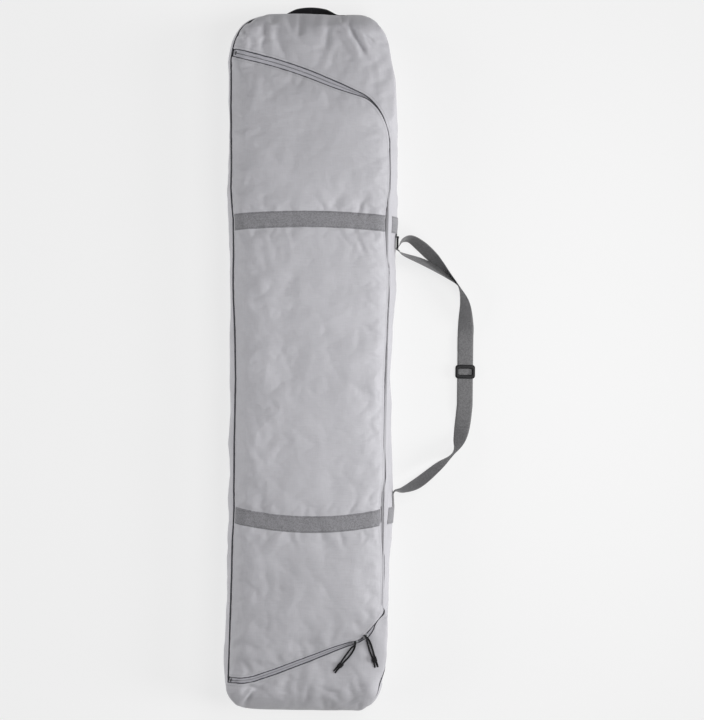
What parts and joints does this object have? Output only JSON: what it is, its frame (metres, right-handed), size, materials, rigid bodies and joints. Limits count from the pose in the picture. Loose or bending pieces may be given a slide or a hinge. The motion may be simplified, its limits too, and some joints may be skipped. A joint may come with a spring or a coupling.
{
  "type": "snowboard bag",
  "caption": "Long padded snowboard bag lying on its back, with a D-shaped zipped lid, sewn webbing bands, a shoulder strap on one side and a haul handle at one end.",
  "frame": {"origin": "centre of the resting face of the back panel", "axes": "+X across the bag towards the shoulder strap, +Y along it towards the haul handle, +Z from the back panel to the zipped front"},
  "size_m": [0.5878, 1.6643, 0.1193],
  "materials": {
    "shell_fabric": "woven, matt",
    "seam_piping": "woven, matt",
    "zip_tape": "woven, matt",
    "zip_coil": "moulded",
    "slider_metal": "cast, satin",
    "band_webbing": "ribbed webbing",
    "strap_webbing": "ribbed webbing",
    "black_plastic": "moulded, satin",
    "pull_cord": "braided",
    "handle_webbing": "ribbed webbing"
  },
  "bodies": {
    "bag": {"back_panel": "shell_fabric", "back_seam_binding": "seam_piping", "left_gusset": "shell_fabric", "right_gusset": "shell_fabric", "top_gusset": "shell_fabric", "bottom_gusset": "shell_fabric", "top_panel": "shell_fabric", "bottom_panel": "shell_fabric", "hinge_piping": "seam_piping", "top_piping": "seam_piping", "bottom_piping": "seam_piping", "zip_facing": "shell_fabric", "fixed_zip_tape": "zip_tape", "fixed_zip_coil": "zip_coil", "zip_end_stops": "slider_metal", "upper_side_band": "band_webbing", "lower_side_band": "band_webbing", "strap_anchor": "strap_webbing", "ring_tab": "strap_webbing", "strap_ring": "black_plastic", "strap_lower_flex": "strap_webbing", "strap_upper_flex": "strap_webbing", "handle_ends": "handle_webbing", "handle_flex": "handle_webbing"},
    "lid": {"lid_panel": "shell_fabric", "lid_zip_tape": "zip_tape", "lid_zip_coil": "zip_coil", "lid_upper_band": "band_webbing", "lid_lower_band": "band_webbing"},
    "left_zip_slider": {"left_slider": "slider_metal"},
    "right_zip_slider": {"right_slider": "slider_metal"},
    "left_pull": {"left_pull_cord": "pull_cord", "left_pull_knot": "pull_cord"},
    "right_pull": {"right_pull_cord": "pull_cord", "right_pull_knot": "pull_cord"},
    "strap": {"shoulder_strap": "strap_webbing", "strap_return": "strap_webbing"},
    "adjuster": {"strap_adjuster": "black_plastic", "adjuster_loop": "strap_webbing"},
    "handle": {"haul_handle": "handle_webbing"}
  },
  "joints": [
    {"name": "lid_fold", "type": "hinge", "parent": "bag", "child": "lid", "pos_m": [-0.185, 0, 0.09], "axis": [0, -1, 0], "range_deg": [0, 165]},
    {"name": "left_slider_run", "type": "slide", "parent": "bag", "child": "left_zip_slider", "axis": [-0.9405, -0.3398, 0], "range_m": [0, 0.24]},
    {"name": "right_slider_run", "type": "slide", "parent": "bag", "child": "right_zip_slider", "axis": [0.7071, 0.7071, 0], "range_m": [0, 0.01]},
    {"name": "left_pull_swing", "type": "hinge", "parent": "left_zip_slider", "child": "left_pull", "pos_m": [0.11336, -0.65493, 0.1134], "axis": [-0.9405, -0.3398, 0], "range_deg": [0, 150]},
    {"name": "right_pull_swing", "type": "hinge", "parent": "right_zip_slider", "child": "right_pull", "pos_m": [0.13725, -0.63975, 0.1134], "axis": [-0.7071, -0.7071, 0], "range_deg": [0, 150]},
    {"name": "strap_lift", "type": "hinge", "parent": "bag", "child": "strap", "pos_m": [0.2, 0, 0.046], "axis": [0, -1, 0], "range_deg": [0, 95], "deforming": ["strap_lower_flex", "strap_upper_flex"]},
    {"name": "adjuster_slide", "type": "slide", "parent": "strap", "child": "adjuster", "axis": [0, 1, 0], "range_m": [-0.03, 0.03]},
    {"name": "haul_handle_tilt", "type": "hinge", "parent": "bag", "child": "handle", "pos_m": [0, 0.8263, 0.032], "axis": [1, 0, 0], "range_deg": [-35, 35], "deforming": ["handle_flex"]}
  ]
}
